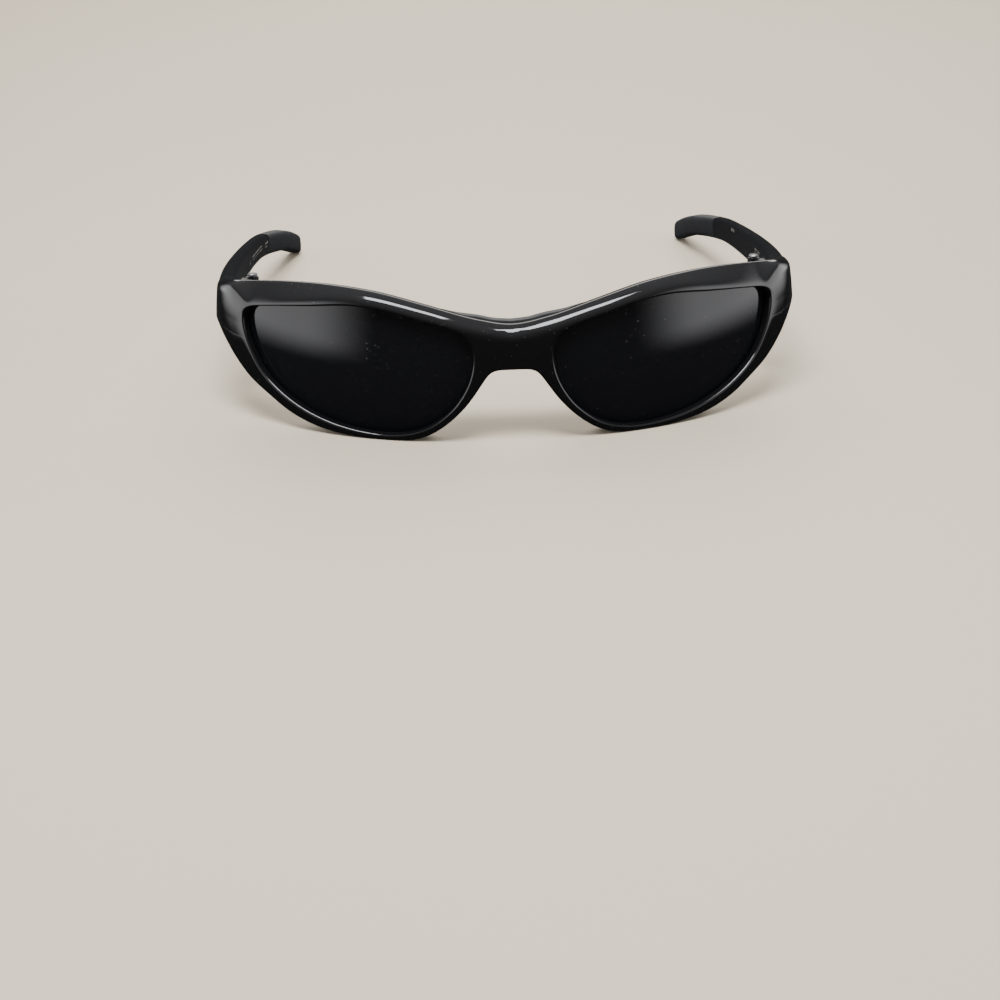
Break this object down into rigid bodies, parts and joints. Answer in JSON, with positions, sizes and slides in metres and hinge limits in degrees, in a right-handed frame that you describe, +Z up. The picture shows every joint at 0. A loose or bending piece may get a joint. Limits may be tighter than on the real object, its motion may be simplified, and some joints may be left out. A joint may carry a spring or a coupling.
{
  "type": "wraparound sunglasses",
  "caption": "Sport sunglasses with a one-piece wrap front, dark curved lenses, a rubber nose saddle and folding temples with rubber tips.",
  "frame": {"origin": "on the table below the middle of the open glasses' bounding box", "axes": "+X to the wearer's left, +Y from the front back along the temples, +Z up, with the glasses standing open on their rims and temple tips"},
  "size_m": [0.1434, 0.1548, 0.0343],
  "materials": {
    "frame": "polished black injection-moulded nylon",
    "lens": "very dark smoke polycarbonate, glossy on both faces",
    "rubber": "soft matte black rubber",
    "steel": "plain hinge steel",
    "washer": "natural nylon"
  },
  "bodies": {
    "front": {"front_frame": "frame", "nose_saddle": "rubber", "lens_right": "lens", "front_hinge_leaf_right": "steel", "hinge_washer_lower_right": "washer", "hinge_washer_upper_right": "washer", "hinge_screw_right": "steel", "lens_left": "lens", "front_hinge_leaf_left": "steel", "hinge_washer_lower_left": "washer", "hinge_washer_upper_left": "washer", "hinge_screw_left": "steel"},
    "right_temple": {"temple_right": "frame", "temple_core_right": "steel", "temple_grip_right": "rubber", "temple_hinge_leaf_right": "steel"},
    "left_temple": {"temple_left": "frame", "temple_core_left": "steel", "temple_grip_left": "rubber", "temple_hinge_leaf_left": "steel"}
  },
  "joints": [
    {"name": "right_temple_fold", "type": "hinge", "parent": "front", "child": "right_temple", "pos_m": [-0.0613, -0.03873, 0.02483], "axis": [0, -0.1085, -0.9941], "range_deg": [0, 93]},
    {"name": "left_temple_fold", "type": "hinge", "parent": "front", "child": "left_temple", "pos_m": [0.0613, -0.03873, 0.02483], "axis": [0, 0.1085, 0.9941], "range_deg": [0, 77]}
  ]
}
